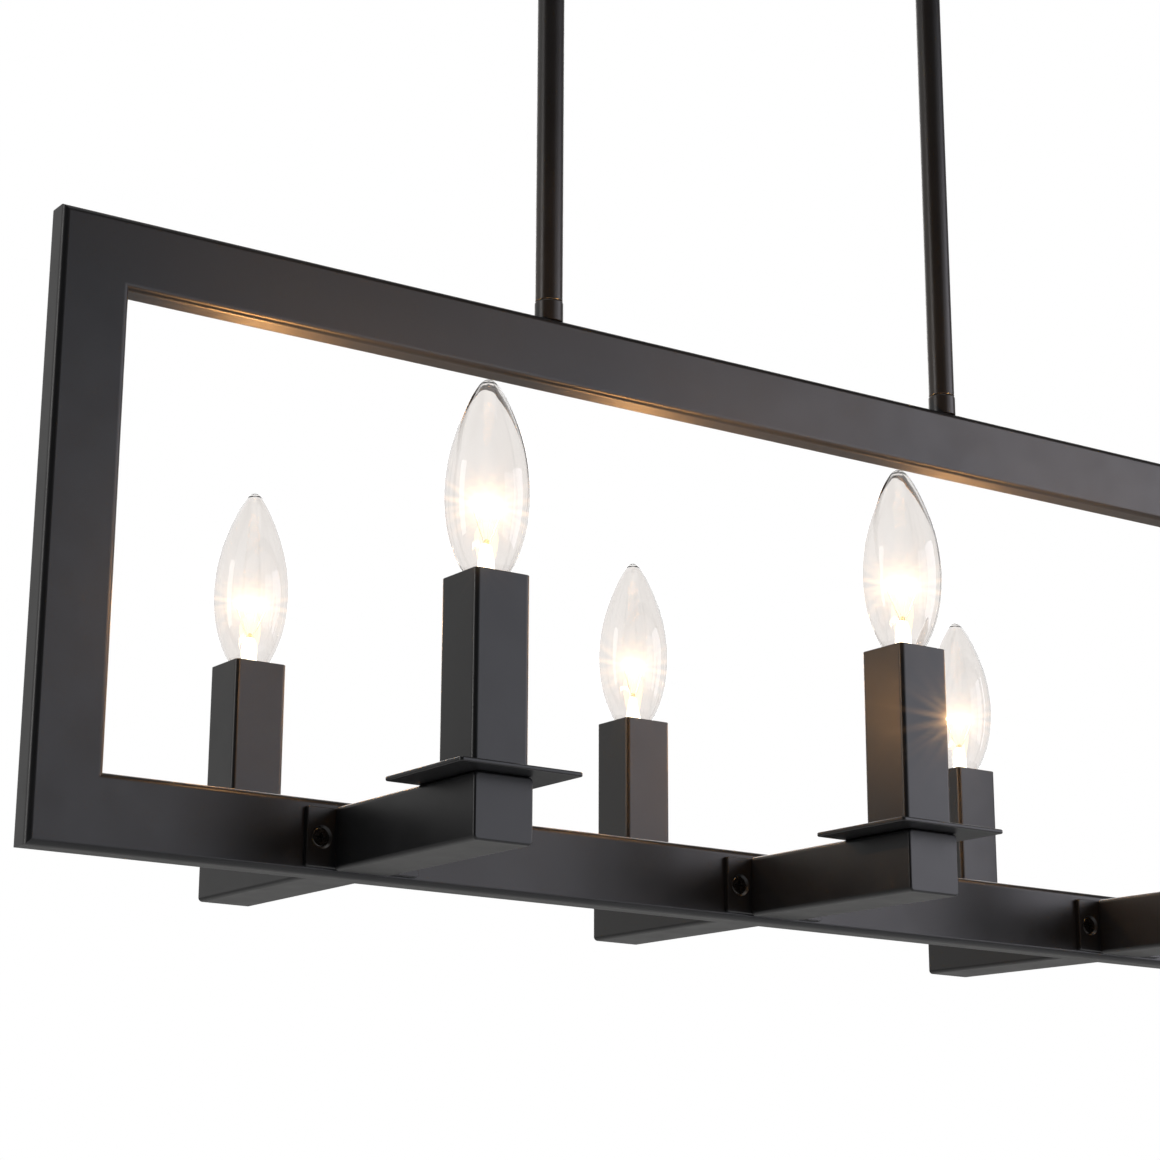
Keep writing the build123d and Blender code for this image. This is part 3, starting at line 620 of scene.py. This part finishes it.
FLOOR_Z = -2.25
bm = bmesh.new()
rim = [bm.verts.new((14 * math.cos(2 * PI * k / 96), 14 * math.sin(2 * PI * k / 96), FLOOR_Z))
       for k in range(96)]
bm.faces.new(rim)
floor_me = D.meshes.new("studio_floor")
bm.to_mesh(floor_me)
bm.free()
floor_me.materials.append(floor_material())
floor = D.objects.new("studio_floor", floor_me)
bpy.context.scene.collection.objects.link(floor)

world = D.worlds.new("studio")
bpy.context.scene.world = world
world.use_nodes = True
wt = world.node_tree
wt.nodes.clear()
w_out = wt.nodes.new("ShaderNodeOutputWorld")
seen = wt.nodes.new("ShaderNodeBackground")
seen.inputs["Color"].default_value = (1, 1, 1, 1)
seen.inputs["Strength"].default_value = 1.0
lit = wt.nodes.new("ShaderNodeBackground")
lit.inputs["Strength"].default_value = 1.0
way = wt.nodes.new("ShaderNodeTexCoord")
split = wt.nodes.new("ShaderNodeSeparateXYZ")
wt.links.new(way.outputs["Generated"], split.inputs["Vector"])


def studio_step(value, start, end, low, high):
    n = wt.nodes.new("ShaderNodeMapRange")
    n.interpolation_type = "SMOOTHSTEP"
    n.inputs["From Min"].default_value = start
    n.inputs["From Max"].default_value = end
    n.inputs["To Min"].default_value = low
    n.inputs["To Max"].default_value = high
    wt.links.new(value, n.inputs["Value"])
    return n.outputs["Result"]


# the white backdrop behind the object, a darker room in front of it
wall = studio_step(split.outputs["Y"], -0.10, 0.50, 0.045, 0.53)
low = studio_step(split.outputs["Z"], -0.36, -0.06, 0.20, 1.0)
both = wt.nodes.new("ShaderNodeMath")
both.operation = "MULTIPLY"
wt.links.new(wall, both.inputs[0])
wt.links.new(low, both.inputs[1])
wt.links.new(both.outputs[0], lit.inputs["Strength"])
lit.inputs["Color"].default_value = (1.0, 0.99, 0.98, 1)
path = wt.nodes.new("ShaderNodeLightPath")
either = wt.nodes.new("ShaderNodeMath")
either.operation = "MAXIMUM"
wt.links.new(path.outputs["Is Camera Ray"], either.inputs[0])
wt.links.new(path.outputs["Is Transmission Ray"], either.inputs[1])
mix = wt.nodes.new("ShaderNodeMixShader")
wt.links.new(either.outputs[0], mix.inputs["Fac"])
wt.links.new(lit.outputs[0], mix.inputs[1])
wt.links.new(seen.outputs[0], mix.inputs[2])
wt.links.new(mix.outputs[0], w_out.inputs["Surface"])

CENTRE = Vector((0, 0, -0.62))


def softbox(name, direction, distance, size, size_y, radiance, colour):
    """A soft area light that shows this radiance from the object."""
    light = D.lights.new(name, "AREA")
    light.shape = "RECTANGLE"
    light.size = size
    light.size_y = size_y
    light.energy = radiance * PI * size * size_y
    light.color = colour
    o = D.objects.new(name, light)
    bpy.context.scene.collection.objects.link(o)
    d = Vector(direction).normalized()
    o.location = CENTRE + d * distance
    o.rotation_euler = d.to_track_quat("Z", "Y").to_euler()
    o.visible_camera = False
    o.visible_transmission = False
    return o


def round_the_side(azimuth, elevation):
    """Direction at this angle from the front (-Y) towards the right (+X)."""
    a, e = math.radians(azimuth), math.radians(elevation)
    return (math.sin(a) * math.cos(e), -math.cos(a) * math.cos(e), math.sin(e))


softbox("key_soft", round_the_side(54, 6), 3.0, 1.9, 2.1, 2.55, (0.92, 0.91, 1.0))
softbox("front_soft", round_the_side(22, 4), 3.0, 1.3, 2.1, 1.50, (0.90, 0.91, 1.0))
softbox("top_soft", (-0.1, -0.2, 1.0), 3.0, 2.2, 2.2, 1.0, (1.0, 1.0, 1.0))
softbox("back_soft", round_the_side(150, 20), 3.0, 2.4, 2.2, 2.6, (1.0, 0.99, 0.98))
softbox("left_strip", round_the_side(-100, 8), 3.0, 0.8, 2.0, 3.4, (1.0, 0.98, 0.97))


# ---------------------------------------------------------------------------
# Bloom of the lit filaments
# ---------------------------------------------------------------------------

scene = bpy.context.scene
scene.use_nodes = True
ct = scene.node_tree
ct.nodes.clear()
layers = ct.nodes.new("CompositorNodeRLayers")
comp = ct.nodes.new("CompositorNodeComposite")


def glare(kind, source, **values):
    n = ct.nodes.new("CompositorNodeGlare")
    n.glare_type = kind
    for k, v in values.items():
        k = k.replace("_", " ")
        if k in n.inputs:
            n.inputs[k].default_value = v
        else:
            print("glare has no input", k)
    ct.links.new(source, n.inputs["Image"])
    return n.outputs["Image"]


bloom = glare("FOG_GLOW", layers.outputs["Image"], Threshold=4.0, Strength=0.35, Size=0.045)
rays = glare("STREAKS", bloom, Threshold=6.0, Strength=1.0, Streaks=16, Streaks_Angle=0.2,
             Iterations=3, Fade=0.86, Tint=(1.0, 0.80, 0.58, 1.0))
ct.links.new(rays, comp.inputs["Image"])


# ---------------------------------------------------------------------------
# Camera at the photograph's viewing angle
# ---------------------------------------------------------------------------

cam_data = D.cameras.new("camera")
cam = D.objects.new("camera", cam_data)
bpy.context.scene.collection.objects.link(cam)
yaw, pitch, roll = (math.radians(v) for v in (-30.736, 15.899, -1.338))
F_PX, CX, CY = 2644.96, 400.0, 515.0
fw = Vector((-math.sin(yaw) * math.cos(pitch), math.cos(yaw) * math.cos(pitch), math.sin(pitch)))
rt = fw.cross(Vector((0, 0, 1))).normalized()
dn = fw.cross(rt)
right = rt * math.cos(roll) + dn * math.sin(roll)
down = dn * math.cos(roll) - rt * math.sin(roll)
m = Matrix((right, -down, -fw)).transposed().to_4x4()
m.translation = Vector((-397.709 - 366.0, -945.574 - 6.9, -154.103 - 786.4)) * MM
cam.matrix_world = m
cam_data.sensor_width = 36.0
cam_data.sensor_fit = "HORIZONTAL"
cam_data.lens = F_PX / 1160.0 * 36.0
cam_data.shift_x = (580.0 - CX) / 1160.0
cam_data.shift_y = -(580.0 - CY) / 1160.0
cam_data.clip_start = 0.05
cam_data.clip_end = 60.0
bpy.context.scene.camera = cam

bpy.context.scene.view_settings.view_transform = "Standard"

# ---------------------------------------------------------------------------
# Scene update
# ---------------------------------------------------------------------------

bpy.context.view_layer.update()
